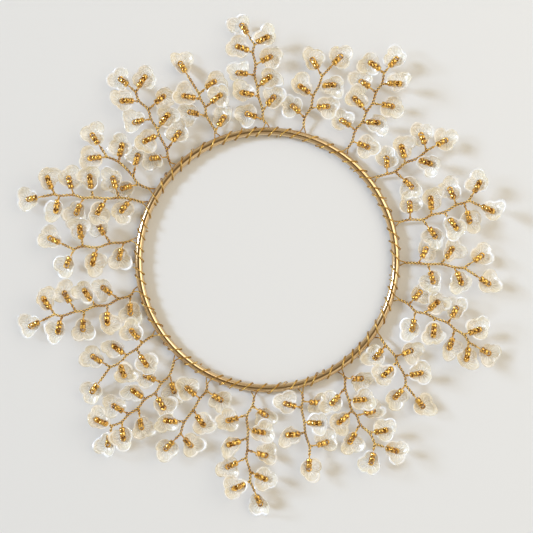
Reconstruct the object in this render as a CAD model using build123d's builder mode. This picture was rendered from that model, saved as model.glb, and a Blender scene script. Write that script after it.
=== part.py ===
from build123d import *

import math
import os

os.makedirs("parts", exist_ok=True)

# A wire candle ring: a round rod bent into a ring, with twenty flowering sprigs of twisted wire tied on.
# The origin is the middle of the candle opening, on the surface that the ring lies on, with +Z up.

# Driving dimensions, in millimetres
ring_radius = 48.5  # to the middle of the rod
rod_diameter = 3.0
strand_diameter = 0.4  # one strand of the soft wire
stem_diameter = 0.8  # two strands twisted together
twig_diameter = 0.7
stem_bend = 0.6  # inside radius of the stem's zigzag
stem_rise = 3.1  # how far a stem climbs above the rod
stem_settle = 6.0  # reach over which most of that climb happens

wrap_gap = 0.05  # between a wrapped strand and the rod
wrap_pitch = 4.3  # along the rod, one turn
wrap_foot = 0.1  # how deep the wraps are pressed flat underneath
least_turns = 0.5  # round the rod, for the shortest tail
tail_spread = 1.2  # along the rod, from a sprig's root to where a tail meets the rod
tail_end_gap = 0.5  # between a tail's end and the middle of the space to the next sprig
root_reach = 1.6  # from the rod's surface out to where the two strands part
root_angle = 57.0  # round the rod, where a tail meets it
lead_in = 0.3  # how far a strand runs into the twist that it comes out of
strand_parting = 0.02  # from a twig's middle to the surface of each of its two strands

sequin_diameter = 9.4
sequin_thickness = 0.2
cup_depth = 1.4
petal_count = 3
petal_diameter = 4.9
sequin_hole = 1.0

bead_diameter = 2.1
bead_length = 1.5
bead_hole = 0.9
bead_gap = 0.22  # between two beads in line
arch_gap = 0.45  # between two beads on the bend
arch_radius = 1.9
last_bead_drop = 0.85  # along the strand, from the foot of the bend to the last bead's middle
strand_seat = 0.15  # between the sequin and the strand that runs back under it
arch_lead = 0.5  # from the first bead to the corner of the strand
arch_lean = 0.65  # from that corner out to the twig
arch_bend = 0.45  # radius of that corner and of the one under the sequin

# How steeply twigs rise, in degrees: the first and second pair of each four, left and right of a stem
left_slope = (-12, 12)
right_slope = (0, 24)

# Each sprig's angle round the ring, its forks, and the bead trio at the end of each twig.
# Places are (outwards from the rod's middle, aside to the left). The last fork carries two twigs.
sprigs = {
    1: (90.5,
        [(4.5, 1.5), (8, 1), (13, 3), (16.5, 3), (21, 4.5), (25, 3.5), (29.5, 5), (32.5, 4)],
        [(6, 5.5), (11.5, -2), (14, 7.5), (19.5, -1), (21.5, 8), (27, -0.5), (31, 9), (34.5, 0),
         (38.5, 8)]),
    2: (74.6,
        [(7, 1), (11, -1), (15.5, 0), (19.5, -1.5), (23.5, -1.5)],
        [(9, 4.5), (12.5, -5), (17, 4), (21, -6), (27.5, 2.5), (31, -5.5)]),
    3: (54.2,
        [(6.5, 0), (10.5, 2), (14.5, 1), (18.5, 2.5), (22.5, 2), (26.5, 4), (30.5, 3.5), (34, 5.5)],
        [(7.5, -4), (10.5, 6), (17, -3), (19.5, 7.5), (25, -3), (26.5, 9), (33.5, -1), (34, 10.5),
         (39.5, 5)]),
    4: (37.2,
        [(7, -1.5), (10, -3), (15, -2), (19, -4), (24, -3.5)],
        [(9.5, 2), (11, -9.5), (16.5, 1.5), (21, -7), (25.5, 1), (30.5, -4.5)]),
    5: (16.0,
        [(7.5, 0), (12, -2), (15.5, -0.5), (20.5, -1.5), (25.5, 0.5), (28.5, 0), (30.5, 0.5)],
        [(8.5, 4), (14, -7.5), (16.5, 4), (22.5, -7.5), (25, 5), (28.5, -5.5), (35, 5), (37, -5.5)]),
    6: (-1.2,
        [(8.5, 0), (12, -0.5), (17, 0), (22, -1.5), (25.5, -1.5)],
        [(10.5, 4), (13.5, -5.5), (20, 4.5), (24, -6.5), (31, 2.5), (33.5, -6.5)]),
    7: (-16.7,
        [(7.5, -0.5), (10.5, -3), (14, -2), (18, -3), (23.5, -3), (26.5, -5), (30.5, -5.5), (33, -8)],
        [(9.5, 3.5), (11, -8), (16.5, 2), (19, -8.5), (24.5, 1.5), (26.5, -10.5), (34, -3), (33.5, -13.5),
         (40, -9.5)]),
    8: (-34.4,
        [(6.5, -1.5), (12, -2.5), (13.5, -4.5), (19, -6.5), (21, -9.5)],
        [(6, -5.5), (14.5, 1), (12, -10.5), (22, -3.5), (20.5, -14), (29.5, -12)]),
    9: (-56.5,
        [(5, 0), (8, -2.5), (12.5, -3.5), (16.5, -5), (19, -4), (22.5, -5.5), (27, -3.5), (31.5, -4.5)],
        [(7.5, 3.5), (9.5, -8), (14.5, 0), (17, -10.5), (20.5, 0.5), (25, -10.5), (28.5, 0), (37, 0),
         (35.5, -8.5)]),
    10: (-75.2,
         [(6.5, -0.5), (8.5, -2), (14, -2), (18, -3), (23.5, -2.5)],
         [(8, 3.5), (6.5, -5.5), (15.5, 3), (17, -8.5), (23.5, 2.5), (30, -4.5)]),
    11: (-95.5,
         [(7, 0), (10.5, -2.5), (15.5, -1), (19, -1), (23.5, -0.5), (26.5, -1), (31.5, 1.5), (35, 1.5)],
         [(9, 3.5), (12.5, -7.5), (16, 3.5), (21.5, -7), (24.5, 5), (29.5, -6), (33, 6), (37.5, -3.5),
          (42, 5.5)]),
    12: (-116.1,
         [(6, 1.5), (9.5, 0), (14.5, 0), (20, -1.5), (24.5, -0.5)],
         [(6.5, 6), (8.5, -4), (17, 4.5), (22, -7), (26, 3), (30.5, -2.5)]),
    13: (-132.8,
         [(8.5, 3), (12.5, 2), (17, 3.5), (21, 1.5), (25.5, 2.5), (29.5, 1), (33.5, 1.5), (37, -0.5)],
         [(10.5, 6), (14, -2.5), (18, 7), (21.5, -2.5), (29, 7), (30.5, -3.5), (36.5, 5), (38.5, -5.5),
          (42, 2.5)]),
    14: (-146.5,
         [(8, 0), (11, 1), (15.5, 0.5), (19, 2), (23, 1)],
         [(8.5, -4), (11, 7), (17, -4), (20, 7), (25.5, -4.5), (32.5, 4.5)]),
    15: (-167.0,
         [(5, 2), (9.5, 1.5), (14, 3.5), (18.5, 2), (23, 3.5), (26, 2.5), (31.5, 3.5), (34, 2)],
         [(6, 6.5), (13, -2.5), (15, 8.5), (20.5, -3.5), (24.5, 8.5), (28, -3.5), (33.5, 7.5), (36, -4),
          (42.5, 4)]),
    16: (171.8,
         [(6, 1.5), (11, 2), (15.5, 5), (21, 4.5), (24, 6.5)],
         [(6.5, 5), (15, -2.5), (16, 9.5), (22.5, -1.5), (32, 4), (25.5, 11.5)]),
    17: (155.3,
         [(7.5, 0.5), (12, 2), (16, 4.5), (21, 6), (24, 8), (28, 8), (32.5, 11), (34.5, 11)],
         [(8.5, 4.5), (16, -2.5), (16.5, 9.5), (24.5, 0), (24, 12.5), (31, 4.5), (31.5, 15), (38.5, 7),
          (41.5, 16)]),
    18: (148.9,
         [(8, 1), (11, -1), (18.5, -3), (23, -2)],
         [(10.5, 3.5), (13, -7), (20, -8), (27, 1), (30.5, -5.5)]),
    19: (135.2,
         [(5.5, -1), (7.5, -3), (13.5, -4.5), (15.5, -6), (20, -6.5), (23, -9), (28, -8), (31, -10)],
         [(8, 2), (8.5, -9), (15, 0), (16, -11.5), (22, -3.5), (22.5, -14.5), (31, -5), (32, -15.5),
          (37, -9.5)]),
    20: (112.3,
         [(4, -0.5), (10.5, 1), (13.5, -0.5), (17, 0.5), (19, 0)],
         [(6.5, -4), (13, 4.5), (15, -6.5), (19.5, 4.5), (20.5, -5.5), (31, 2)]),
}
# Twigs bent by hand to clear a neighbour: (sprig, place of its blossom in the list) and slope in degrees
bent_twigs = {(9, 4): -20, (9, 7): 8, (10, 0): -16, (10, 2): 32, (13, 0): -20, (13, 2): 4,
              (14, 1): 20, (14, 3): 40, (17, 0): 4, (18, 0): -20, (19, 2): 24}

# Steps along a wound tail, for each turn
turn_arcs = 4
turn_samples = 40

# Worked out from the driving dimensions
rod_radius = rod_diameter / 2
strand_radius = strand_diameter / 2
wrap_radius = rod_radius + wrap_gap + strand_radius
rod_height = wrap_radius + strand_radius - wrap_foot
root_out = rod_radius + root_reach
cup_radius = ((sequin_diameter / 2) ** 2 + cup_depth**2) / (2 * cup_depth)
arch_height = cup_depth + bead_diameter / 2
arch_foot = arch_height - arch_radius
under_height = -strand_seat - strand_radius

# A blossom's own frame: the sequin's middle is the origin, +X points to the twig and +Z up.
# Beads are counted from the sequin's hole: the last stands on the bend, the other two lie in line.
bend_length = arch_radius * math.pi / 2
second_bead = last_bead_drop + bead_length + arch_gap
first_bead = second_bead + bead_length + bead_gap
arch_corner = arch_radius + first_bead - bend_length + bead_length / 2 + arch_lead
twig_end = arch_corner + arch_lean
twig_height = arch_height / 4


def strand_place(along):
    """Plane across the strand, this far along it from the foot of its bend, square to its run."""
    if along < bend_length:
        turn = along / arch_radius
        place = (arch_radius * (1 - math.cos(turn)), 0, arch_foot + arch_radius * math.sin(turn))
        return Plane(place, x_dir=(0, 1, 0), z_dir=(math.sin(turn), 0, math.cos(turn)))
    return Plane((arch_radius + along - bend_length, 0, arch_height), x_dir=(0, 1, 0), z_dir=(1, 0, 0))


def sprig_point(angle, out, aside, height):
    """Point of the model from a place measured along and across a sprig."""
    turn = math.radians(angle)
    reach = ring_radius + out
    return Vector(
        reach * math.cos(turn) - aside * math.sin(turn),
        reach * math.sin(turn) + aside * math.cos(turn),
        height,
    )


def stem_height(out):
    """Height of a stem's middle, which climbs away from the rod and levels off."""
    return rod_height + stem_rise * (1 - math.exp(-(out - root_out) / stem_settle))


def slope_of(number, index, forks, cluster):
    """Slope of a twig: by the side of the stem that it leaves from, unless it was bent by hand."""
    if (number, index) in bent_twigs:
        return bent_twigs[number, index]
    last = min(index, len(forks) - 1)
    before = forks[last - 1] if last else (0, 0)
    run = (forks[last][0] - before[0], forks[last][1] - before[1])
    twig = (cluster[0] - forks[last][0], cluster[1] - forks[last][1])
    leaves_left = run[0] * twig[1] > run[1] * twig[0]
    return (left_slope if leaves_left else right_slope)[index // 2 % 2]


def blossom_frames(number):
    """For each blossom of a sprig: the fork that it grows from, and its frame."""
    angle, forks, clusters = sprigs[number]
    frames = []
    for index, cluster in enumerate(clusters):
        out, aside = forks[min(index, len(forks) - 1)]
        fork = sprig_point(angle, out, aside, stem_height(out))
        level = sprig_point(angle, *cluster, fork.Z) - fork
        slope = math.radians(slope_of(number, index, forks, cluster))
        heading = level.normalized() * math.cos(slope) + Vector(0, 0, math.sin(slope))
        upright = heading.cross(Vector(0, 0, 1).cross(heading)).normalized()
        middle_bead = strand_place(second_bead).origin.X
        reach = max(level.length + middle_bead, twig_end + stem_diameter)
        frames.append((fork, Plane(fork + heading * reach - upright * twig_height, -heading, upright)))
    return frames


def tail_points(angle, way, length, turns, steps):
    """Places and headings along a tail that winds round the rod, and the length wound per turn."""
    pitch = length / turns
    for step in range(steps + 1):
        wound = turns * step / steps
        around = way * (math.radians(root_angle) + 2 * math.pi * wound)
        place = angle + way * math.degrees((tail_spread + pitch * wound) / ring_radius)
        out = wrap_radius * math.cos(around)
        rise = wrap_radius * math.sin(around)
        point = sprig_point(place, out, 0, rod_height + rise)
        advance = pitch / (2 * math.pi) * (ring_radius + out) / ring_radius
        back = sprig_point(place, out, 0, rod_height)
        ahead = sprig_point(place, out - way * rise, way * advance, rod_height + way * out)
        yield point, (ahead - back).normalized()


def arc_middle(start, heading, end):
    """Middle of the arc that leaves start along heading and comes to end."""
    chord = end - start
    along = chord.normalized()
    bulge = (heading - along * heading.dot(along)).normalized()
    turn = math.radians(heading.get_angle(chord))
    return (start + end) / 2 + bulge * (chord.length / 2 * math.tan(turn / 2))


def biarc(start, heading, end, arrival):
    """Two arcs that join two places and keep their headings."""
    chord = end - start
    both = heading + arrival
    spread = 2 * (1 - heading.dot(arrival))
    lean = chord.dot(both)
    arm = (math.sqrt(lean**2 + spread * chord.dot(chord)) - lean) / spread
    middle = (start + end + (heading - arrival) * arm) / 2
    ThreePointArc(start, arc_middle(start, heading, middle), middle)
    ThreePointArc(middle, arc_middle(end, -arrival, middle), end)


def tails_of(number):
    """Way, length and turns of the two tails of a sprig, which share the rod with its neighbours."""
    angle = sprigs[number][0]
    others = [sprigs[other][0] for other in sprigs if other != number]
    for way in (1, -1):
        space = min(way * (other - angle) % 360 for other in others)
        length = math.radians(space) * ring_radius / 2 - tail_spread - tail_end_gap
        yield way, length, max(least_turns, round(turn_arcs * length / wrap_pitch) / turn_arcs)


# Ring rod
with BuildPart() as ring_rod:
    with BuildSketch(Plane.XZ):
        with Locations((ring_radius, rod_height)):
            Circle(rod_radius)
    revolve(axis=Axis.Z)
ring_rod.part.label = "ring_rod"
export_step(ring_rod.part, "parts/ring_rod.step")

# One sequin: a shallow cup cut to three petals, with a notch towards the twig
with BuildPart() as sequin:
    with BuildSketch(Plane.XY.offset(-sequin_thickness)):
        with PolarLocations((sequin_diameter - petal_diameter) / 2, petal_count, 180 / petal_count):
            Circle(petal_diameter / 2)
        Circle(sequin_hole / 2, mode=Mode.SUBTRACT)
    extrude(amount=cup_depth + 3 * sequin_thickness)
    with Locations((0, 0, cup_radius)):
        Sphere(cup_radius, mode=Mode.INTERSECT)
        Sphere(cup_radius - sequin_thickness, mode=Mode.SUBTRACT)

# One seed bead, with its hole along Z
with BuildPart() as bead:
    with BuildSketch(Plane.XZ):
        with BuildLine():
            ThreePointArc(
                (bead_hole / 2, -bead_length / 2), (bead_diameter / 2, 0), (bead_hole / 2, bead_length / 2)
            )
            Line((bead_hole / 2, bead_length / 2), (bead_hole / 2, -bead_length / 2))
        make_face()
    revolve(axis=Axis.Z)

# The strand of one blossom: over the petals, down through the hole and back underneath
with BuildPart() as strand_loop:
    with BuildLine() as loop_line:
        FilletPolyline(
            (twig_end + lead_in, 0, twig_height + strand_radius + strand_parting),
            (arch_corner, 0, arch_height),
            (0, 0, arch_height),
            (0, 0, under_height),
            (twig_end + lead_in, 0, twig_height - strand_radius - strand_parting),
            radius=(arch_bend, arch_radius, arch_bend),
        )
    with BuildSketch(Plane(loop_line.line @ 0, z_dir=loop_line.line % 0)):
        Circle(strand_radius)
    sweep()

# Sprig wires: stem, twigs, blossom strands and the two tails wound round the rod
tail_out = root_out + lead_in
wound = []
for number, (angle, forks, clusters) in sprigs.items():
    frames = blossom_frames(number)
    root = sprig_point(angle, root_out, 0, rod_height)
    with BuildPart() as sprig_wire:
        with BuildLine() as stem_line:
            knots = [sprig_point(angle, out, aside, stem_height(out)) for out, aside in forks]
            FilletPolyline(root, *knots, radius=stem_bend)
        with BuildSketch(Plane(stem_line.line @ 0, z_dir=stem_line.line % 0)):
            Circle(stem_diameter / 2)
        sweep()
        for fork, frame in frames:
            tip = frame.from_local_coords(Vector(twig_end, 0, twig_height))
            with BuildSketch(Plane(fork, z_dir=tip - fork)):
                Circle(twig_diameter / 2)
            extrude(amount=(tip - fork).length)
        with Locations(*[frame for fork, frame in frames]):
            add(strand_loop.part)
        for way, length, turns in tails_of(number):
            start = sprig_point(angle, tail_out, way * strand_radius, stem_height(tail_out))
            stops = [(start, (sprig_point(angle, 0, way * tail_spread, rod_height) - start).normalized())]
            stops += tail_points(angle, way, length, turns, round(turn_arcs * turns))
            with BuildLine() as tail_line:
                for (place, heading), (stop, arrival) in zip(stops, stops[1:]):
                    biarc(place, heading, stop, arrival)
            with BuildSketch(Plane(start, z_dir=stops[0][1])):
                Circle(strand_radius)
            sweep()
            samples = tail_points(angle, way, length, turns, round(turn_samples * turns))
            wound.append([place for place, heading in samples])
        split(bisect_by=Plane.XY, keep=Keep.TOP)
    sprig_wire.part.label = f"sprig_{number:02d}_wire"
    export_step(sprig_wire.part, f"parts/{sprig_wire.part.label}.step")

# Sequins, one group for each sprig
for number in sprigs:
    with BuildPart() as sequins:
        with Locations(*[frame for fork, frame in blossom_frames(number)]):
            add(sequin.part)
    sequins.part.label = f"sprig_{number:02d}_sequins"
    export_step(sequins.part, f"parts/{sequins.part.label}.step")

# Beads, three to a blossom, one group for each two neighbouring sprigs
trio = [strand_place(along) for along in (first_bead, second_bead, last_bead_drop)]
for number in range(1, len(sprigs), 2):
    frames = [frame for fork, frame in blossom_frames(number) + blossom_frames(number + 1)]
    with BuildPart() as beads:
        with Locations(*[frame.location * place.location for frame in frames for place in trio]):
            add(bead.part)
    beads.part.label = f"sprigs_{number:02d}_{number + 1:02d}_beads"
    export_step(beads.part, f"parts/{beads.part.label}.step")

# The least gap among the wound turns
gaps = []
for index, tail in enumerate(wound):
    for place, point in enumerate(tail):
        gaps += [(point - other).length for later in wound[index + 1:] for other in later]
        gaps += [(point - other).length for other in tail[place + turn_samples // 2:]]
print(f"least gap among the wound turns: {min(gaps) - strand_diameter:.2f} mm")
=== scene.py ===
import math

import bpy
import numpy as np
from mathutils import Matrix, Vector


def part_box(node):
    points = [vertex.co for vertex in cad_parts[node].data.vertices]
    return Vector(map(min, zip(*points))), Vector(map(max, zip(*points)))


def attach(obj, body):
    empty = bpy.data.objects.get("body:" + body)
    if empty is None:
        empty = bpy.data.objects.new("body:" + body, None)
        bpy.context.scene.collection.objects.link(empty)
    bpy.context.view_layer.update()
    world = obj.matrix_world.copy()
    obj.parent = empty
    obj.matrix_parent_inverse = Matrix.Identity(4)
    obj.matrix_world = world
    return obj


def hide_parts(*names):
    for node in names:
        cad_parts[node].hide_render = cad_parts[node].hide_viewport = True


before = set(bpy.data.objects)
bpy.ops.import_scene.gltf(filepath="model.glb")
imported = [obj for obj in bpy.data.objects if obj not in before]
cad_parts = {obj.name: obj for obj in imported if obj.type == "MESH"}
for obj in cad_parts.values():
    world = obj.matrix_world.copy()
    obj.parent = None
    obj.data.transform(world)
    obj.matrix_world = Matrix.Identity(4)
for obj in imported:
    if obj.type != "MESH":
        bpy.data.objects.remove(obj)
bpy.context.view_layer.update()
print("frame loaded:", len(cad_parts), "nodes")

# Lengths on the ring are in millimetres, and meshes are written in metres
mm = 0.001
ringLow, ringHigh = (np.array(corner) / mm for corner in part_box("ring_rod"))
rodRadius = (ringHigh[2] - ringLow[2]) / 2
rodHeight = (ringHigh[2] + ringLow[2]) / 2
ringRadius = ringHigh[0] - rodRadius

# Each sprig: its angle round the ring, its forks, and the bead trio at the end of each twig,
# as (outwards from the rod's middle, aside to the left). The last fork carries two twigs.
sprigs = {
    1: (90.5,
        [(4.5, 1.5), (8, 1), (13, 3), (16.5, 3), (21, 4.5), (25, 3.5), (29.5, 5), (32.5, 4)],
        [(6, 5.5), (11.5, -2), (14, 7.5), (19.5, -1), (21.5, 8), (27, -0.5), (31, 9), (34.5, 0),
         (38.5, 8)]),
    2: (74.6,
        [(7, 1), (11, -1), (15.5, 0), (19.5, -1.5), (23.5, -1.5)],
        [(9, 4.5), (12.5, -5), (17, 4), (21, -6), (27.5, 2.5), (31, -5.5)]),
    3: (54.2,
        [(6.5, 0), (10.5, 2), (14.5, 1), (18.5, 2.5), (22.5, 2), (26.5, 4), (30.5, 3.5), (34, 5.5)],
        [(7.5, -4), (10.5, 6), (17, -3), (19.5, 7.5), (25, -3), (26.5, 9), (33.5, -1), (34, 10.5),
         (39.5, 5)]),
    4: (37.2,
        [(7, -1.5), (10, -3), (15, -2), (19, -4), (24, -3.5)],
        [(9.5, 2), (11, -9.5), (16.5, 1.5), (21, -7), (25.5, 1), (30.5, -4.5)]),
    5: (16.0,
        [(7.5, 0), (12, -2), (15.5, -0.5), (20.5, -1.5), (25.5, 0.5), (28.5, 0), (30.5, 0.5)],
        [(8.5, 4), (14, -7.5), (16.5, 4), (22.5, -7.5), (25, 5), (28.5, -5.5), (35, 5), (37, -5.5)]),
    6: (-1.2,
        [(8.5, 0), (12, -0.5), (17, 0), (22, -1.5), (25.5, -1.5)],
        [(10.5, 4), (13.5, -5.5), (20, 4.5), (24, -6.5), (31, 2.5), (33.5, -6.5)]),
    7: (-16.7,
        [(7.5, -0.5), (10.5, -3), (14, -2), (18, -3), (23.5, -3), (26.5, -5), (30.5, -5.5), (33, -8)],
        [(9.5, 3.5), (11, -8), (16.5, 2), (19, -8.5), (24.5, 1.5), (26.5, -10.5), (34, -3),
         (33.5, -13.5), (40, -9.5)]),
    8: (-34.4,
        [(6.5, -1.5), (12, -2.5), (13.5, -4.5), (19, -6.5), (21, -9.5)],
        [(6, -5.5), (14.5, 1), (12, -10.5), (22, -3.5), (20.5, -14), (29.5, -12)]),
    9: (-56.5,
        [(5, 0), (8, -2.5), (12.5, -3.5), (16.5, -5), (19, -4), (22.5, -5.5), (27, -3.5), (31.5, -4.5)],
        [(7.5, 3.5), (9.5, -8), (14.5, 0), (17, -10.5), (20.5, 0.5), (25, -10.5), (28.5, 0), (37, 0),
         (35.5, -8.5)]),
    10: (-75.2,
         [(6.5, -0.5), (8.5, -2), (14, -2), (18, -3), (23.5, -2.5)],
         [(8, 3.5), (6.5, -5.5), (15.5, 3), (17, -8.5), (23.5, 2.5), (30, -4.5)]),
    11: (-95.5,
         [(7, 0), (10.5, -2.5), (15.5, -1), (19, -1), (23.5, -0.5), (26.5, -1), (31.5, 1.5), (35, 1.5)],
         [(9, 3.5), (12.5, -7.5), (16, 3.5), (21.5, -7), (24.5, 5), (29.5, -6), (33, 6), (37.5, -3.5),
          (42, 5.5)]),
    12: (-116.1,
         [(6, 1.5), (9.5, 0), (14.5, 0), (20, -1.5), (24.5, -0.5)],
         [(6.5, 6), (8.5, -4), (17, 4.5), (22, -7), (26, 3), (30.5, -2.5)]),
    13: (-132.8,
         [(8.5, 3), (12.5, 2), (17, 3.5), (21, 1.5), (25.5, 2.5), (29.5, 1), (33.5, 1.5), (37, -0.5)],
         [(10.5, 6), (14, -2.5), (18, 7), (21.5, -2.5), (29, 7), (30.5, -3.5), (36.5, 5), (38.5, -5.5),
          (42, 2.5)]),
    14: (-146.5,
         [(8, 0), (11, 1), (15.5, 0.5), (19, 2), (23, 1)],
         [(8.5, -4), (11, 7), (17, -4), (20, 7), (25.5, -4.5), (32.5, 4.5)]),
    15: (-167.0,
         [(5, 2), (9.5, 1.5), (14, 3.5), (18.5, 2), (23, 3.5), (26, 2.5), (31.5, 3.5), (34, 2)],
         [(6, 6.5), (13, -2.5), (15, 8.5), (20.5, -3.5), (24.5, 8.5), (28, -3.5), (33.5, 7.5), (36, -4),
          (42.5, 4)]),
    16: (171.8,
         [(6, 1.5), (11, 2), (15.5, 5), (21, 4.5), (24, 6.5)],
         [(6.5, 5), (15, -2.5), (16, 9.5), (22.5, -1.5), (32, 4), (25.5, 11.5)]),
    17: (155.3,
         [(7.5, 0.5), (12, 2), (16, 4.5), (21, 6), (24, 8), (28, 8), (32.5, 11), (34.5, 11)],
         [(8.5, 4.5), (16, -2.5), (16.5, 9.5), (24.5, 0), (24, 12.5), (31, 4.5), (31.5, 15), (38.5, 7),
          (41.5, 16)]),
    18: (148.9,
         [(8, 1), (11, -1), (18.5, -3), (23, -2)],
         [(10.5, 3.5), (13, -7), (20, -8), (27, 1), (30.5, -5.5)]),
    19: (135.2,
         [(5.5, -1), (7.5, -3), (13.5, -4.5), (15.5, -6), (20, -6.5), (23, -9), (28, -8), (31, -10)],
         [(8, 2), (8.5, -9), (15, 0), (16, -11.5), (22, -3.5), (22.5, -14.5), (31, -5), (32, -15.5),
          (37, -9.5)]),
    20: (112.3,
         [(4, -0.5), (10.5, 1), (13.5, -0.5), (17, 0.5), (19, 0)],
         [(6.5, -4), (13, 4.5), (15, -6.5), (19.5, 4.5), (20.5, -5.5), (31, 2)]),
}
# Slopes of twigs in degrees, by the side of the stem, for the first and second pair of each four
slopes = dict(left=(-12, 12), right=(0, 24))
# Twigs whose slopes are given one by one: (sprig, place in its list) and slope
bentTwigs = {(9, 4): -20, (9, 7): 8, (10, 0): -16, (10, 2): 32, (13, 0): -20, (13, 2): 4,
             (14, 1): 20, (14, 3): 40, (17, 0): 4, (18, 0): -20, (19, 2): 24}

noFans = np.empty((0, 3), int)      # for shapes that have no triangles
upward = np.array([0, 0, 1.0])
# Inputs of a Map Range node, and inputs and output of a Mix node for colours
valueIn, fromLow, fromHigh, toLow, toHigh = range(5)
mixShare, mixFirst, mixSecond, mixColour = 0, 6, 7, 2
# Settings that several nodes share
smooth = {"interpolation_type": "SMOOTHSTEP"}
times, larger = {"operation": "MULTIPLY"}, {"operation": "MAXIMUM"}


# Directions made 1 long
def unit(v):
    return v / np.linalg.norm(v, axis=-1, keepdims=True)


# Angles of points evenly spaced round a circle
def fullTurn(count):
    return np.linspace(0, 2 * np.pi, count, endpoint=False)


# Faces of a grid whose rows close on themselves, and whose last row meets the first where asked,
# with a UV for each corner
def gridFaces(rows, columns, closedRows=False):
    index = np.arange(rows * columns).reshape(rows, columns)
    right = np.roll(index, -1, axis=1)
    quads = np.stack([index, right, np.roll(right, -1, axis=0), np.roll(index, -1, axis=0)], -1)
    last = rows if closedRows else rows - 1
    v, u = np.mgrid[0:last, 0:columns].astype(float)
    u, v = u / columns, v / last
    nextU, nextV = u + 1 / columns, v + 1 / last
    corners = [(u, v), (nextU, v), (nextU, nextV), (u, nextV)]
    uv = np.stack([np.stack(corner, -1) for corner in corners], 2)
    return quads[:last].reshape(-1, 4), uv.reshape(-1, 4, 2)


# Several sets of points, quads and triangles as one
def joined(shapes):
    points, quads, fans = zip(*shapes)
    starts = np.cumsum([0] + [len(group) for group in points])
    return (np.concatenate(points),
            np.concatenate([group + start for group, start in zip(quads, starts)]),
            np.concatenate([group + start for group, start in zip(fans, starts)]))


# A smooth mesh in its finish, in place of the solids of some nodes, with the depth of painted crevice shade
# at its points where given
def makePiece(name, shape, finish, nodes, uv=None, creviceShade=None):
    points, quads, fans = shape
    mesh = bpy.data.meshes.new(name)
    mesh.from_pydata(points * mm, [], quads.tolist() + fans.tolist())
    mesh.shade_smooth()
    if uv is not None:
        mesh.uv_layers.new(name="UVMap").data.foreach_set("uv", uv.ravel())
    if creviceShade is not None:
        mesh.attributes.new("creviceShade", "FLOAT", "POINT").data.foreach_set("value", creviceShade)
    mesh.materials.append(finish)
    piece = bpy.data.objects.new(name, mesh)
    bpy.context.scene.collection.objects.link(piece)
    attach(piece, "root")
    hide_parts(*nodes)


# A round tube carried along each path: a ring of points across every step, and a fan over each end
def tubes(paths, across, radius, sides):
    runs = unit(np.gradient(paths, axis=1))
    side = unit(np.cross(across, runs))
    up = np.cross(runs, side)
    turn = fullTurn(sides)[:, None]
    outward = np.cos(turn) * side[..., None, :] + np.sin(turn) * up[..., None, :]
    rings = paths[..., None, :] + radius * outward
    count, length = paths.shape[:2]
    index = np.arange(count * length * sides).reshape(count, length, sides)
    ahead = np.roll(index, -1, axis=2)
    quads = np.stack([index[:, :-1], ahead[:, :-1], ahead[:, 1:], index[:, 1:]], -1).reshape(-1, 4)
    first = np.broadcast_to(index.size + np.arange(count)[:, None], (count, sides))
    fans = np.concatenate([np.stack([first, ahead[:, 0], index[:, 0]], -1).reshape(-1, 3),
                           np.stack([first + count, index[:, -1], ahead[:, -1]], -1).reshape(-1, 3)])
    return np.concatenate([rings.reshape(-1, 3), paths[:, 0], paths[:, -1]]), quads, fans


# A place on the model from (out, aside, height) along a sprig
def sprigPoint(angle, out, aside, height):
    turn = np.radians(angle)
    reach = ringRadius + out
    x = reach * np.cos(turn) - aside * np.sin(turn)
    y = reach * np.sin(turn) + aside * np.cos(turn)
    return np.stack(np.broadcast_arrays(x, y, height), -1).astype(float)


# Colour from sRGB hex to linear, by the two parts of the sRGB curve
def linear(hexValue):
    channels = [int(hexValue[i:i + 2], 16) / 255 for i in (1, 3, 5)]
    return [c / 12.92 if c <= 0.04045 else ((c + 0.055) / 1.055) ** 2.4 for c in channels] + [1]


# Each socket takes a value, an output, or the first output of a node
def setSockets(tree, node, sockets):
    for key, value in sockets.items():
        source = value.outputs[0] if isinstance(value, bpy.types.Node) else value
        if isinstance(source, bpy.types.NodeSocket):
            tree.links.new(source, node.inputs[key])
        else:
            node.inputs[key].default_value = source


# Adds a node: settings go on the node itself, and stops are the positions and colours of a colour ramp
def addNode(tree, kind, settings={}, inputs={}, stops=()):
    node = tree.nodes.new(kind)
    for key, value in settings.items():
        setattr(node, key, value)
    setSockets(tree, node, inputs)
    for number, (position, colour) in enumerate(stops):
        ramp = node.color_ramp.elements
        stop = ramp[number] if number < len(ramp) else ramp.new(position)
        stop.position = position
        stop.color = linear(colour)
    return node


# A new finish, with its node tree and its shader
def newFinish(name):
    finish = bpy.data.materials.new(name)
    finish.use_nodes = True
    return finish, finish.node_tree, finish.node_tree.nodes["Principled BSDF"]


# Ring rod: drawn brass rod, polished and gold plated. A clean mirror along its length with
# faint drawing lines, which run 25 mm and are 0.3 mm apart, coarser than the real ones.
ringRod = dict(
    around=360, across=28,         # points round the ring and round the rod
    streak=25.0, spacing=0.3,      # length of a drawing line, and from one to the next
    pale="#f0dab4", deep="#c6a270",
    deepTo=0.3, paleFrom=0.65,     # values of the noise between which the colours blend
    detail=2.0, roughness=0.16,
)
rodFinish, tree, shader = newFinish("polished gold plated brass rod")
where = addNode(tree, "ShaderNodeTexCoord")
lines = addNode(tree, "ShaderNodeMapping", inputs={0: where.outputs["UV"], "Scale": (
    2 * math.pi * ringRadius / ringRod["streak"], 2 * math.pi * rodRadius / ringRod["spacing"], 1)})
drawn = addNode(tree, "ShaderNodeTexNoise", inputs={
    "Vector": lines, "Scale": 1.0, "Detail": ringRod["detail"]})
tone = addNode(tree, "ShaderNodeValToRGB", inputs={0: drawn}, stops=[
    (ringRod["deepTo"], ringRod["deep"]), (ringRod["paleFrom"], ringRod["pale"])])
setSockets(tree, shader, {"Base Color": tone, "Metallic": 1.0, "Roughness": ringRod["roughness"]})


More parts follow.
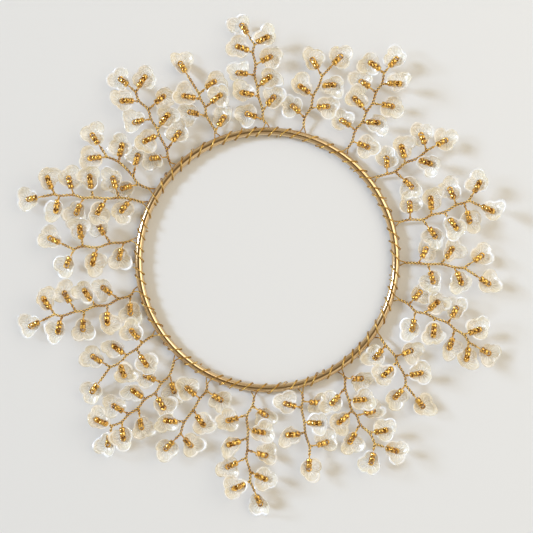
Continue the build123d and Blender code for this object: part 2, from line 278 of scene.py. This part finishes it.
# The circle of the rod carried round the circle of the ring
def rodShape():
    turn = fullTurn(ringRod["across"])[:, None]
    along = fullTurn(ringRod["around"])
    reach = ringRadius + rodRadius * np.cos(turn)
    points = np.stack(np.broadcast_arrays(
        reach * np.cos(along), reach * np.sin(along), rodHeight + rodRadius * np.sin(turn)), -1)
    quads, uv = gridFaces(ringRod["across"], ringRod["around"], closedRows=True)
    return (points.reshape(-1, 3), quads, noFans), uv


rodSolid, rodUv = rodShape()
makePiece("ringRod", rodSolid, rodFinish, ["ring_rod"], rodUv)
print("ring rod made")

# Blossoms: a pressed sequin and the strand through three beads, which lies in the blossom's XZ plane
blossom = dict(
    width=9.4, cupDepth=1.4, hole=1.0,            # the sphere and the hole that sequins are pressed to
    beadWidth=2.1, beadLength=1.5, beadHole=0.9,
    beadGap=0.22, archGap=0.45,                   # from the first bead to the second, and to the last
    archRadius=1.9, lastDrop=0.85,                # the bend over the hole, and the last bead along it
    archLead=0.5, archLean=0.65, archBend=0.45,   # from the first bead down to the twig
    seat=0.15,                                    # from the hole down to the strand underneath
    leadIn=0.3,                                   # how far single strands run into a twisted pair
    stem=0.8, twigShare=0.25,                     # least length of a twig, and its height by the arch
    rootReach=1.6,                                # from the rod to where the strands part
    stemRise=3.1, stemSettle=6.0,                 # how high stems climb, and over what length
)
rootOut = rodRadius + blossom["rootReach"]
cupRadius = ((blossom["width"] / 2) ** 2 + blossom["cupDepth"] ** 2) / (2 * blossom["cupDepth"])
archRadius = blossom["archRadius"]
archHeight = blossom["cupDepth"] + blossom["beadWidth"] / 2
bendLength = archRadius * math.pi / 2
secondBead = blossom["lastDrop"] + blossom["beadLength"] + blossom["archGap"]
firstBead = secondBead + blossom["beadLength"] + blossom["beadGap"]
archCorner = archRadius + firstBead - bendLength + blossom["beadLength"] / 2 + blossom["archLead"]
twigEnd = archCorner + blossom["archLean"]
twigHeight = archHeight * blossom["twigShare"]


# Place and run of the bead strand in a blossom's frame, this far along from the foot of its bend:
# a quarter circle, then level
def strandPlace(along):
    if along < bendLength:
        turn = along / archRadius
        bend = (archRadius * (1 - math.cos(turn)), 0, archHeight - archRadius * (1 - math.sin(turn)))
        return np.array(bend), np.array([math.sin(turn), 0, math.cos(turn)])
    return np.array([archRadius + along - bendLength, 0, archHeight]), np.array([1.0, 0, 0])


# Stems climb away from the rod and level off exponentially
def stemHeight(out):
    return rodHeight + blossom["stemRise"] * (1 - math.exp(-(out - rootOut) / blossom["stemSettle"]))


# A twig's slope, by the side of the stem that it leaves from
def slopeOf(number, order, forks, cluster):
    if (number, order) in bentTwigs:
        return bentTwigs[number, order]
    last = min(order, len(forks) - 1)
    run = np.subtract(forks[last], forks[last - 1] if last else (0, 0))
    twig = np.subtract(cluster, forks[last])
    return slopes["left" if run[0] * twig[1] > run[1] * twig[0] else "right"][order // 2 % 2]


# For each blossom of a sprig: its fork, the sequin's middle, and axes towards the twig, across and up
def blossomFrames(number):
    angle, forks, clusters = sprigs[number]
    starts, origins, axes = [], [], []
    for order, cluster in enumerate(clusters):
        out, aside = forks[min(order, len(forks) - 1)]
        fork = sprigPoint(angle, out, aside, stemHeight(out))
        level = sprigPoint(angle, *cluster, fork[2]) - fork
        slope = math.radians(slopeOf(number, order, forks, cluster))
        heading = unit(level) * math.cos(slope) + upward * math.sin(slope)
        across = unit(np.cross(upward, -heading))
        upright = np.cross(-heading, across)
        reach = max(np.linalg.norm(level) + strandPlace(secondBead)[0][0], twigEnd + blossom["stem"])
        starts.append(fork)
        origins.append(fork + heading * reach - upright * twigHeight)
        axes.append(np.stack([-heading, across, upright], -1))
    return np.array(starts), np.array(origins), np.array(axes)


frames = {number: blossomFrames(number) for number in sprigs}


# Copies of a shape, or of one for each, placed by an origin and a set of axes each
def copies(points, quads, origins, axes):
    placed = origins[:, None] + points @ axes.transpose(0, 2, 1)
    faces = quads + placed.shape[1] * np.arange(len(origins))[:, None, None]
    return placed.reshape(-1, 3), faces.reshape(-1, 4), noFans


# Sprig wire: soft drawn brass wire with a gold wash. It has a satin shine that is a little darker over
# about 3 mm where the wash is thin, with painted shade in the crevice between twisted strands, and darker
# all along the tails.
wire = dict(
    strand=0.44,                     # one strand across, with its wash
    twistPitch=2.6,                  # one full turn of the two strands
    looseness=0.1,                   # between the twisted strands
    sides=8, twistSteps=10, wrapSteps=32, armSteps=10, bendSteps=9, loopStep=0.5,     # fineness of the mesh
    cornerCuts=(0.28, 0.25),         # shares that are cut off each piece of a stem, to round its bends
    rootAngle=57.0,                  # round the rod, where a tail meets it
    wrapGap=0.05, wrapPitch=4.3, leastTurns=0.5,
    tailSpread=1.2, tailEndGap=0.5,  # from the root to the first wrap, and at the ends of tails
    slant=1.4,                       # how much more a wrap advances over the top of the rod than underneath
    wander=0.1,                      # unevenness of the wraps, in turns
    wanderSpeed=2.3, wanderStart=2.1,
    slack=0.08, slackSpeed=3.1,      # how far wraps stand off the rod in places
    flare=0.6, flareTurns=0.2,       # how far a tail's end springs away from the rod, and over what length
    # tailDarkening: a fixed depth on the crevice scale that darkens each whole tail
    tailDarkening=0.36,                    # how dark the tails are, from 0 to 1 for a crevice
    # dark is the colour of the painted crevice shade
    pale="#fbd680", deep="#cc983f", dark="#2e2008", patch=3.0,
    deepTo=0.35, paleFrom=0.6, detail=3.0, roughness=0.38,
    brightTo=0.2, darkFrom=0.65,     # depths in the crevice between which the wire darkens
)
wireFinish, tree, shader = newFinish("gold washed drawn brass wire")
where = addNode(tree, "ShaderNodeTexCoord")
wash = addNode(tree, "ShaderNodeTexNoise", inputs={
    "Vector": where.outputs["Object"], "Scale": 1 / (wire["patch"] * mm), "Detail": wire["detail"]})
tone = addNode(tree, "ShaderNodeValToRGB", inputs={0: wash}, stops=[
    (wire["deepTo"], wire["deep"]), (wire["paleFrom"], wire["pale"])])
# Painted shade: the colour darkens towards dark by how deep each point lies in the crevice between twisted
# strands
depth = addNode(tree, "ShaderNodeAttribute", {"attribute_name": "creviceShade"})
inside = addNode(tree, "ShaderNodeMapRange", smooth, {
    valueIn: depth.outputs["Fac"], fromLow: wire["brightTo"], fromHigh: wire["darkFrom"]})
colour = addNode(tree, "ShaderNodeMix", {"data_type": "RGBA"}, {
    mixShare: inside, mixFirst: tone, mixSecond: linear(wire["dark"])})
setSockets(tree, shader, {
    "Base Color": colour.outputs[mixColour], "Metallic": 1.0, "Roughness": wire["roughness"]})
strandRadius = wire["strand"] / 2
wrapRadius = rodRadius + wire["wrapGap"] + strandRadius


# Points evenly spaced along a polyline, and how far along they are
def evenly(line, spacing):
    length = np.concatenate([[0], np.cumsum(np.linalg.norm(np.diff(line, axis=0), axis=1))])
    at = np.linspace(0, length[-1], max(3, round(length[-1] / spacing) + 1))
    return np.stack([np.interp(at, length, line[:, k]) for k in range(3)], -1), at


# Corners of a line cut twice, which rounds its bends
def softened(line):
    for share in wire["cornerCuts"]:
        first = line[:-1] * (1 - share) + line[1:] * share
        second = line[:-1] * share + line[1:] * (1 - share)
        between = np.stack([first, second], 1).reshape(-1, 3)[1:-1]
        line = np.concatenate([line[:1], between, line[-1:]])
    return line


# Two strands twisted round a path: each is the path moved aside by an offset that turns along it.
# Also how far each point lies in the crevice between them, from 0 outside to 1 inside, for the painted
# crevice shade.
def twistedPair(line, phase):
    path, at = evenly(line, wire["twistPitch"] / wire["twistSteps"])
    run = unit(np.gradient(path, axis=0))
    side = unit(np.cross(upward, run))
    up = np.cross(run, side)
    turn = (phase + 2 * np.pi * at / wire["twistPitch"])[:, None]
    offset = (strandRadius + wire["looseness"]) * (np.cos(turn) * side + np.sin(turn) * up)
    pair = tubes(np.stack([path + offset, path - offset]), upward, strandRadius, wire["sides"])
    rings = pair[0][:-4].reshape(2, len(path), wire["sides"], 3)     # the last four points are the ends
    away = np.linalg.norm(rings - path[:, None], axis=-1).ravel()
    depths = np.zeros(len(pair[0]))
    depths[:-4] = 1 - (away - wire["looseness"]) / wire["strand"]
    return pair, depths


# A tail: a cubic from the parting of the strands to the rod, then a helix round and along the rod.
# The helix advances more over the top than underneath, by a cosine of its angle. A sine makes its
# wraps uneven, another lifts them off the rod, and its end springs away by a square.
def tailShape(number, way, length, turns):
    angle = sprigs[number][0]
    wound = np.linspace(0, turns, round(wire["wrapSteps"] * turns) + 1)
    start = math.radians(wire["rootAngle"])
    around = way * (start + 2 * np.pi * wound)
    advance = wound - way * wire["slant"] * (np.cos(around) - math.cos(start)) / (2 * np.pi)
    phase = wire["wanderStart"] * number
    advance += wire["wander"] * (np.sin(wire["wanderSpeed"] * wound + phase) - math.sin(phase))
    degrees = angle + way * np.degrees((wire["tailSpread"] + length / turns * advance) / ringRadius)
    off = wrapRadius + wire["slack"] * (1 + np.sin(wire["slackSpeed"] * wound + number))
    off = off + wire["flare"] * np.clip(1 - (turns - wound) / wire["flareTurns"], 0, 1) ** 2
    coil = sprigPoint(degrees, off * np.cos(around), 0, rodHeight + off * np.sin(around))
    root = sprigPoint(angle, rootOut + blossom["leadIn"], way * strandRadius, rodHeight)
    leave = unit(sprigPoint(angle, 0, way * wire["tailSpread"], rodHeight) - root)
    arrive = unit(coil[1] - coil[0])
    reach = np.linalg.norm(coil[0] - root)
    t = np.linspace(0, 1, wire["armSteps"], endpoint=False)[:, None]
    arm = ((2 * t**3 - 3 * t**2 + 1) * root + (t**3 - 2 * t**2 + t) * leave * reach
           + (3 * t**2 - 2 * t**3) * coil[0] + (t**3 - t**2) * arrive * reach)
    along = np.radians(np.concatenate([np.full(len(arm), angle), degrees]))
    across = np.stack([-np.sin(along), np.cos(along), np.zeros(len(along))], -1)
    line = np.concatenate([arm, coil])
    points, quads, fans = tubes(line[None], across[None], strandRadius, wire["sides"])
    points[:, 2] = np.maximum(points[:, 2], 0)      # wraps are pressed flat where the ring stands
    return points, quads, fans


# Way, length and quarter turns of a sprig's two tails, which share the rod with its neighbours
def tailsOf(number):
    angle = sprigs[number][0]
    for way in (1, -1):
        space = min(way * (sprigs[other][0] - angle) % 360 for other in sprigs if other != number)
        length = math.radians(space) * ringRadius / 2 - wire["tailSpread"] - wire["tailEndGap"]
        yield way, length, max(wire["leastTurns"], round(4 * length / wire["wrapPitch"]) / 4)


# The strand of a blossom, in its frame: straight runs joined by arcs, over the petals, down the hole
# and back underneath
def strandLoop():
    end = twigEnd + blossom["leadIn"]
    corners = np.array([
        (end, 0, twigHeight + strandRadius), (archCorner, 0, archHeight), (0, 0, archHeight),
        (0, 0, -blossom["seat"] - strandRadius), (end, 0, twigHeight - strandRadius)])
    radii = (blossom["archBend"], archRadius, blossom["archBend"])
    line = [corners[:1]]
    for before, corner, after, radius in zip(corners, corners[1:], corners[2:], radii):
        back, ahead = unit(before - corner), unit(after - corner)
        half = math.acos(back @ ahead) / 2
        inward = -unit(back + ahead)
        sweep = np.linspace(-1, 1, wire["bendSteps"])[:, None] * (math.pi / 2 - half)
        line.append(corner - inward * radius / math.sin(half)
                    + radius * (np.cos(sweep) * inward + np.sin(sweep) * unit(ahead - back)))
    return evenly(np.concatenate(line + [corners[-1:]]), wire["loopStep"])[0]


loop = strandLoop()
for number, (angle, forks, clusters) in sprigs.items():
    starts, origins, axes = frames[number]
    knots = [sprigPoint(angle, rootOut, 0, rodHeight)]
    knots += [sprigPoint(angle, out, aside, stemHeight(out)) for out, aside in forks]
    tips = origins + axes @ np.array([twigEnd, 0, twigHeight])
    pairs = [twistedPair(softened(np.array(knots)), number)]
    pairs += [twistedPair(np.stack([fork, tip]), number + order)
              for order, (fork, tip) in enumerate(zip(starts, tips))]
    loops = tubes(origins[:, None] + loop @ axes.transpose(0, 2, 1), axes[:, None, :, 1],
                  strandRadius, wire["sides"])
    tails = joined([tailShape(number, *tail) for tail in tailsOf(number)])
    creviceShade = [depths for pair, depths in pairs]
    # Loops are not darkened; tails are darkened all along by a fixed depth on the crevice scale
    creviceShade += [np.zeros(len(loops[0])), np.full(len(tails[0]), wire["tailDarkening"])]
    makePiece(f"sprig{number:02d}Wire", joined([pair for pair, depths in pairs] + [loops, tails]),
              wireFinish, [f"sprig_{number:02d}_wire"], creviceShade=np.concatenate(creviceShade))
print("sprig wires made")

# Sequins: pearl-coated PVC film, pressed into a cup of three petals. It is nearly clear, ivory and lit
# through, with a soft gloss, fine pressed pleats round the hole, and a denser cut rim that gathers light.
# The rim, creases and pleats are painted white as highlight. Its index is that of the pearl coat.
sequin = dict(
    petals=3, width=9.9, petalWidth=6.2,
    film=0.12, rim=0.1, rimWidth=0.58, rimPower=12,     # rim is half the rim's extra thickness
    trough=0.5,                        # how far the sides of a petal rise above its middle line
    foldAt=1.7,                        # from the hole's middle to the fold that a petal bends up from
    bend=1.6, lift=0.6,                # how much petals differ in rise at their tips, and their usual rise
    twist=1.0,                         # how much higher one side of a petal lies than the other
    lip=0.5, lipPower=5,               # how far the rim is turned up
    turn=55.0, roll=26.0,              # how far sequins turn and roll on their strand, in degrees
    sprigSeed=12.9, blossomSeed=4.1,   # seeds of the sines by which sequins and their petals differ
    bendSeed=3.7, bendStep=2.4, twistSeed=5.3, twistStep=1.9, turnSeed=1.7, rollSeed=2.9, rollStart=1,
    floorGap=0.05,                     # least height of a petal above the floor
    steps=48, rings=(0, 0.2, 0.4, 0.6, 0.78, 0.9, 1),   # points round a sequin, and shares of its reach
    # paintedHighlightWhite is the white painted on the rim, creases and pleats as highlight
    pale="#fff9ea", deep="#ffebca", paintedHighlightWhite="#fffffa",
    patch=5.0, detail=2.0, deepTo=0.35, paleFrom=0.65,  # clouds in the film
    clear=0.1, milky=0.4, slanted=0.75, dense=0.97,     # how much the film hides, up to the rim
    slantBlend=0.75, shadow=0.18,      # how soon a slant shows, and the share of the film that casts shadow
    passedOn=0.7, passedDepth=0.4,     # share of the light that goes on in the film, and how far
    # The rim's white is partly a denser film and partly painted highlight
    rimFrom=0.87, rimFull=0.92,        # shares of the reach between which the rim turns white
    rimLeast=0.3, dimRimTo=0.42, brightRimFrom=0.58,          # its least white, and values of the clouds
    # Creases and pleats are drawn as painted highlight lines
    creaseWidth=0.012, creaseDense=0.6, creaseFrom=0.25, creaseFull=0.7,     # width as a share of a turn
    pleats=15, pleatPower=6.0, pleatDepth=0.25,         # number, sharpness and depth of the pleats
    pleatDense=0.6, pleatFrom=0.2, pleatTo=0.85,
    roughness=0.32, index=1.8, coat=1.0, coatRoughness=0.08,
)
filmFinish, tree, shader = newFinish("pearl coated pressed PVC film")
where = addNode(tree, "ShaderNodeTexCoord")
grid = addNode(tree, "ShaderNodeSeparateXYZ", inputs={0: where.outputs["UV"]})
turnShare, reachShare = grid.outputs["X"], grid.outputs["Y"]
cloud = addNode(tree, "ShaderNodeTexNoise", inputs={
    "Vector": where.outputs["Object"], "Scale": 1 / (sequin["patch"] * mm), "Detail": sequin["detail"]})
tone = addNode(tree, "ShaderNodeValToRGB", inputs={0: cloud}, stops=[
    (sequin["deepTo"], sequin["deep"]), (sequin["paleFrom"], sequin["pale"])])
# The rim's white, partly a denser film and partly painted highlight, comes and goes along it with the
# clouds
cut = addNode(tree, "ShaderNodeMapRange", smooth, {
    valueIn: reachShare, fromLow: sequin["rimFrom"], fromHigh: sequin["rimFull"]})
rimHighlightByClouds = addNode(tree, "ShaderNodeMapRange", smooth, {
    valueIn: cloud, fromLow: sequin["dimRimTo"], fromHigh: sequin["brightRimFrom"],
    toLow: sequin["rimLeast"], toHigh: 1.0})
rimHighlight = addNode(tree, "ShaderNodeMath", times, {0: cut, 1: rimHighlightByClouds})
# Creases: thin lines of painted highlight where a saw of the turn is 0, between petals, kept to the outer
# part
saw = addNode(tree, "ShaderNodeMath", {"operation": "PINGPONG"}, {
    0: turnShare, 1: 0.5 / sequin["petals"]})
thinLine = addNode(tree, "ShaderNodeMapRange", smooth, {
    valueIn: saw, fromLow: sequin["creaseWidth"], fromHigh: 0.0, toLow: 0.0, toHigh: sequin["creaseDense"]})
outer = addNode(tree, "ShaderNodeMapRange", inputs={
    valueIn: reachShare, fromLow: sequin["creaseFrom"], fromHigh: sequin["creaseFull"]})
crease = addNode(tree, "ShaderNodeMath", times, {0: thinLine, 1: outer})
# Pleats: a high power of a sine of the turn, which fades towards the rim. They bump the film and are
# painted white as highlight lines
pleatTurn = addNode(tree, "ShaderNodeMath", times, {0: turnShare, 1: math.pi * sequin["pleats"]})
wave = addNode(tree, "ShaderNodeMath", {"operation": "SINE"}, {0: pleatTurn})
sharp = addNode(tree, "ShaderNodeMath", {"operation": "POWER"}, {0: wave, 1: sequin["pleatPower"]})
fade = addNode(tree, "ShaderNodeMapRange", inputs={
    valueIn: reachShare, fromLow: sequin["pleatFrom"], fromHigh: sequin["pleatTo"],
    toLow: sequin["pleatDense"], toHigh: 0.0})
pleat = addNode(tree, "ShaderNodeMath", times, {0: sharp, 1: fade})
# The rim, creases and pleats are painted white as highlight, and hide more of what lies behind
highlightEdges = addNode(tree, "ShaderNodeMath", larger, {0: rimHighlight, 1: crease})
dense = addNode(tree, "ShaderNodeMath", larger, {0: highlightEdges, 1: pleat})
colour = addNode(tree, "ShaderNodeMix", {"data_type": "RGBA"}, {
    mixShare: dense, mixFirst: tone, mixSecond: linear(sequin["paintedHighlightWhite"])})
flat = addNode(tree, "ShaderNodeMapRange", inputs={
    valueIn: cloud, fromLow: sequin["deepTo"], fromHigh: sequin["paleFrom"],
    toLow: sequin["clear"], toHigh: sequin["milky"]})
# Film seen at a slant is thicker and glossier, so it hides more
facing = addNode(tree, "ShaderNodeLayerWeight", inputs={"Blend": sequin["slantBlend"]})
body = addNode(tree, "ShaderNodeMapRange", inputs={
    valueIn: facing.outputs["Facing"], toLow: flat, toHigh: sequin["slanted"]})
alpha = addNode(tree, "ShaderNodeMapRange", inputs={
    valueIn: dense, toLow: body, toHigh: sequin["dense"]})
# The film passes on much of the light that it scatters, so its shadow is thinner than it looks
rays = addNode(tree, "ShaderNodeLightPath")
spread = addNode(tree, "ShaderNodeMath", larger, {
    0: rays.outputs["Is Shadow Ray"], 1: rays.outputs["Is Diffuse Ray"]})
thin = addNode(tree, "ShaderNodeMapRange", inputs={valueIn: spread, toLow: 1.0, toHigh: sequin["shadow"]})
seen = addNode(tree, "ShaderNodeMath", times, {0: alpha, 1: thin})
bump = addNode(tree, "ShaderNodeBump", inputs={
    "Strength": 1.0, "Distance": sequin["pleatDepth"] * mm, "Height": pleat})
setSockets(tree, shader, {
    "Base Color": colour.outputs[mixColour], "Alpha": seen, "Normal": bump,
    "Roughness": sequin["roughness"], "IOR": sequin["index"],
    "Coat Weight": sequin["coat"], "Coat Roughness": sequin["coatRoughness"],
    "Subsurface Weight": sequin["passedOn"], "Subsurface Radius": (1.0, 1.0, 1.0),
    "Subsurface Scale": sequin["passedDepth"] * mm})


# The sequins of a sprig in their frames, on a grid of turn and reach: spherical cups whose edge is three
# arcs. Each petal is a trough by the square of its breadth. Beyond its fold it bends up by a square and
# twists by a product of reach and breadth, as far as sines give. A power of the reach turns the rim up
# and a higher one thickens it. Two sheets meet at the rim and the hole.
def sequinShapes(seed):
    step = 2 * np.pi / sequin["petals"]
    turn = fullTurn(sequin["steps"])
    off = turn % step - step / 2              # 0 on a petal's middle line
    petalNumber = turn // step
    share = np.array(sequin["rings"])[:, None]
    tip, petal, hole = sequin["width"] / 2, sequin["petalWidth"] / 2, blossom["hole"] / 2
    middle = tip - petal
    rimStart, edge = (middle * np.cos(off) + np.sqrt(across**2 - (middle * np.sin(off)) ** 2)
                      for across in (petal - sequin["rimWidth"], petal))
    inner = share[:-1] / share[-2]
    radius = np.concatenate([hole + inner * (rimStart - hole), edge[None]])
    pastFold = np.clip(radius * np.cos(off) - sequin["foldAt"], 0, None) / (tip - sequin["foldAt"])
    bendTurn = seed[:, None] * sequin["bendSeed"] + sequin["bendStep"] * petalNumber
    twistTurn = seed[:, None] * sequin["twistSeed"] + sequin["twistStep"] * petalNumber
    bends = sequin["lift"] + sequin["bend"] * np.sin(bendTurn)
    twists = sequin["twist"] * np.sin(twistTurn)
    height = cupRadius - np.sqrt(cupRadius**2 - radius**2)
    height = height + sequin["trough"] * (radius * np.sin(off) / petal) ** 2
    height = height + bends[:, None] * pastFold**2 + twists[:, None] * pastFold * np.sin(off)
    height = height + sequin["lip"] * share ** sequin["lipPower"]
    thick = sequin["film"] / 2 + sequin["rim"] * share ** sequin["rimPower"]
    x, y = np.broadcast_arrays(radius * np.cos(turn), radius * np.sin(turn), height)[:2]
    sheets = [np.stack([x, y, height + way * thick], -1).reshape(len(seed), -1, 3) for way in (1, -1)]
    return np.concatenate(sheets, 1)


# Faces of one sequin, and a UV of turn and reach for each corner
def sequinFaces():
    rows, columns = len(sequin["rings"]), sequin["steps"]
    under, uv = gridFaces(rows, columns)
    uv[..., 1] = np.interp(uv[..., 1], np.linspace(0, 1, rows), sequin["rings"])
    size = rows * columns
    index = np.arange(size).reshape(rows, columns)
    ahead = np.roll(index, -1, axis=1)
    rimFaces = np.stack([index[-1], index[-1] + size, ahead[-1] + size, ahead[-1]], -1)
    holeFaces = np.stack([index[0], ahead[0], ahead[0] + size, index[0] + size], -1)
    edgeUv = np.repeat([[[0.5, 1.0]] * 4, [[0.5, 0.0]] * 4], columns, axis=0)
    quads = np.concatenate([under[:, ::-1], under + size, rimFaces, holeFaces])
    return quads, np.concatenate([uv[:, ::-1], uv, edgeUv])


# Small turns about Z and then about X, from sines so that each sequin differs
def sequinTurns(seed):
    turn = np.radians(sequin["turn"]) * np.sin(seed * sequin["turnSeed"])
    roll = np.radians(sequin["roll"]) * np.sin(seed * sequin["rollSeed"] + sequin["rollStart"])
    zero, one = np.zeros(len(seed)), np.ones(len(seed))
    aboutZ = np.array([[np.cos(turn), -np.sin(turn), zero],
                       [np.sin(turn), np.cos(turn), zero],
                       [zero, zero, one]])
    aboutX = np.array([[one, zero, zero],
                       [zero, np.cos(roll), -np.sin(roll)],
                       [zero, np.sin(roll), np.cos(roll)]])
    return aboutX.transpose(2, 0, 1) @ aboutZ.transpose(2, 0, 1)


sequinQuads, sequinUv = sequinFaces()
for number in sprigs:
    origins, axes = frames[number][1:]
    seed = sequin["sprigSeed"] * number + sequin["blossomSeed"] * np.arange(len(origins))
    shapes, turned = sequinShapes(seed), axes @ sequinTurns(seed)
    lowest = origins[:, 2] + (shapes @ turned.transpose(0, 2, 1))[..., 2].min(1)
    raised = origins + np.outer(np.maximum(sequin["floorGap"] - lowest, 0), upward)
    makePiece(f"sprig{number:02d}Sequins", copies(shapes, sequinQuads, raised, turned), filmFinish,
              [f"sprig_{number:02d}_sequins"], np.tile(sequinUv, (len(origins), 1, 1)))
print("sequins made")

# Beads: amber glass rocailles with a gold lining, so they look like lacquered metal: warm, with random dark
# patches under 1 mm across, which are painted shade and painted dark reflections, under a wet gloss
bead = dict(
    steps=10, profile=8,                     # points round the hole and round the profile
    fullness=3.0,                            # power of the profile: 2 is round, and more is squarer
    swell=1.12, sway=0.03, swaySeed=7.3,     # size over the solids', and how much beads differ
    # deep is the painted dark of the patches
    pale="#fccb62", deep="#7c4a12", patch=0.75, detail=2.0, deepTo=0.38, paleFrom=0.56,
    metallic=0.8, roughness=0.18, coat=0.8, coatRoughness=0.05, coatIndex=1.52,
)
beadFinish, tree, shader = newFinish("gold lined amber glass")
where = addNode(tree, "ShaderNodeTexCoord")
# Painted shade and reflection: random dark patches in place of the shade of holes and gaps and of dark
# reflections
paintedDarkPatches = addNode(tree, "ShaderNodeTexNoise", inputs={
    "Vector": where.outputs["Object"], "Scale": 1 / (bead["patch"] * mm), "Detail": bead["detail"]})
tone = addNode(tree, "ShaderNodeValToRGB", inputs={0: paintedDarkPatches}, stops=[
    (bead["deepTo"], bead["deep"]), (bead["paleFrom"], bead["pale"])])
setSockets(tree, shader, {
    "Base Color": tone, "Metallic": bead["metallic"], "Roughness": bead["roughness"],
    "Coat Weight": bead["coat"], "Coat Roughness": bead["coatRoughness"], "Coat IOR": bead["coatIndex"]})


# A bead with its hole along Z: a superellipse turned round the hole
def beadShape():
    low, high = blossom["beadHole"] / 2, blossom["beadWidth"] / 2
    turn = fullTurn(bead["profile"])[:, None] + np.pi / bead["profile"]
    power = 2 / bead["fullness"]
    reach = (low + high) / 2 + (high - low) / 2 * np.sign(np.cos(turn)) * np.abs(np.cos(turn)) ** power
    rise = blossom["beadLength"] / 2 * np.sign(np.sin(turn)) * np.abs(np.sin(turn)) ** power
    around = fullTurn(bead["steps"])
    points = np.stack(np.broadcast_arrays(reach * np.cos(around), reach * np.sin(around), rise), -1)
    return points.reshape(-1, 3), gridFaces(bead["profile"], bead["steps"], closedRows=True)[0]


beadPoints, beadQuads = beadShape()
trio = [strandPlace(along) for along in (firstBead, secondBead, blossom["lastDrop"])]
sideways = [0, 1.0, 0]
for number in range(1, len(sprigs), 2):
    origins, axes = [], []
    for starts, middles, blossomAxes in (frames[number], frames[number + 1]):
        for middle, run in trio:
            origins.append(middles + blossomAxes @ middle)
            axes.append(blossomAxes @ np.stack([sideways, np.cross(run, sideways), run], -1))
    origins, axes = np.concatenate(origins), np.concatenate(axes)
    swell = bead["swell"] + bead["sway"] * np.sin(bead["swaySeed"] * np.arange(len(origins)) + number)
    makePiece(f"sprigs{number:02d}Beads",
              copies(beadPoints, beadQuads, origins, axes * swell[:, None, None]),
              beadFinish, [f"sprigs_{number:02d}_{number + 1:02d}_beads"])
print("beads made")

# Stage, in metres: a plain pale floor, a soft window light on the left and a warm fill light on the right
stage = dict(
    floor="#e2e4e6", floorSize=6.0, floorRoughness=0.9,      # floorSize is half its width
    lamps=dict(
        window=dict(place=(-10.35, 2.52, 6.39), size=2.4, power=1165.0, tint="#cfe4ff"),
        fill=dict(place=(0.55, 0.25, 0.75), size=0.8, power=3.4, tint="#fff4e0"),
    ),
)
scene = bpy.context.scene
floorFinish, tree, shader = newFinish("matt pale floor")
setSockets(tree, shader, {"Base Color": linear(stage["floor"]), "Roughness": stage["floorRoughness"]})
floorMesh = bpy.data.meshes.new("floor")
floorCorners = np.array([(-1, -1, 0), (1, -1, 0), (1, 1, 0), (-1, 1, 0)]) * stage["floorSize"]
floorMesh.from_pydata(floorCorners, [], [(0, 1, 2, 3)])
floorMesh.materials.append(floorFinish)
floor = bpy.data.objects.new("floor", floorMesh)
scene.collection.objects.link(floor)

# Square lamps that face the middle of the ring
for name, lamp in stage["lamps"].items():
    light = bpy.data.lights.new(name, "AREA")
    light.energy = lamp["power"]
    light.size = lamp["size"]
    light.color = linear(lamp["tint"])[:3]
    holder = bpy.data.objects.new(name, light)
    x, y, z = lamp["place"]
    holder.location = (x, y, z)
    holder.rotation_euler = (math.atan2(math.hypot(x, y), z), 0, math.atan2(y, x) + math.pi / 2)
    holder.visible_camera = False
    scene.collection.objects.link(holder)

# The room is bright all along the right and through one window on the left, and darker between them and
# straight overhead, which draws dark lines along polished metal
room = dict(
    sky=[(0.0, "#f0e6d4"), (0.35, "#fff4e0"), (0.65, "#fff2dc"), (0.85, "#f6e8d0"), (0.95, "#c0ae90"),
         (0.98, "#8a7452")],                 # from the level of the floor to nearly overhead
    rightFrom=-0.1, rightFull=0.5, leftFrom=-0.75, leftFull=-0.92,      # along X
    dim=0.47, bright=0.86,
)
world = bpy.data.worlds.new("room")
world.use_nodes = True
tree = world.node_tree
where = addNode(tree, "ShaderNodeTexCoord")
direction = addNode(tree, "ShaderNodeSeparateXYZ", inputs={0: where.outputs["Generated"]})
sky = addNode(tree, "ShaderNodeValToRGB", inputs={0: direction.outputs["Z"]}, stops=room["sky"])
rightSide = addNode(tree, "ShaderNodeMapRange", smooth, {
    valueIn: direction.outputs["X"], fromLow: room["rightFrom"], fromHigh: room["rightFull"]})
leftSide = addNode(tree, "ShaderNodeMapRange", smooth, {
    valueIn: direction.outputs["X"], fromLow: room["leftFrom"], fromHigh: room["leftFull"]})
sides = addNode(tree, "ShaderNodeMath", larger, {0: rightSide, 1: leftSide})
strength = addNode(tree, "ShaderNodeMapRange", inputs={
    valueIn: sides, toLow: room["dim"], toHigh: room["bright"]})
setSockets(tree, tree.nodes["Background"], {"Color": sky, "Strength": strength})
scene.world = world

# Camera: straight down, framed so that the ring lies where the photograph has it
view = dict(photo=533, pixelsPerMm=2.65, ringPixel=(267.26, 259.82), distance=750.0, sensor=36.0)
camera = bpy.data.cameras.new("camera")
camera.sensor_width = view["sensor"]
camera.lens = view["sensor"] * (view["distance"] - rodHeight) / (view["photo"] / view["pixelsPerMm"])
eye = bpy.data.objects.new("camera", camera)
half = view["photo"] / 2
eye.location = ((half - view["ringPixel"][0]) / view["pixelsPerMm"] * mm,
                (view["ringPixel"][1] - half) / view["pixelsPerMm"] * mm, view["distance"] * mm)
scene.collection.objects.link(eye)
scene.camera = eye
scene.view_settings.view_transform = "Standard"
print("stage, light and camera made")
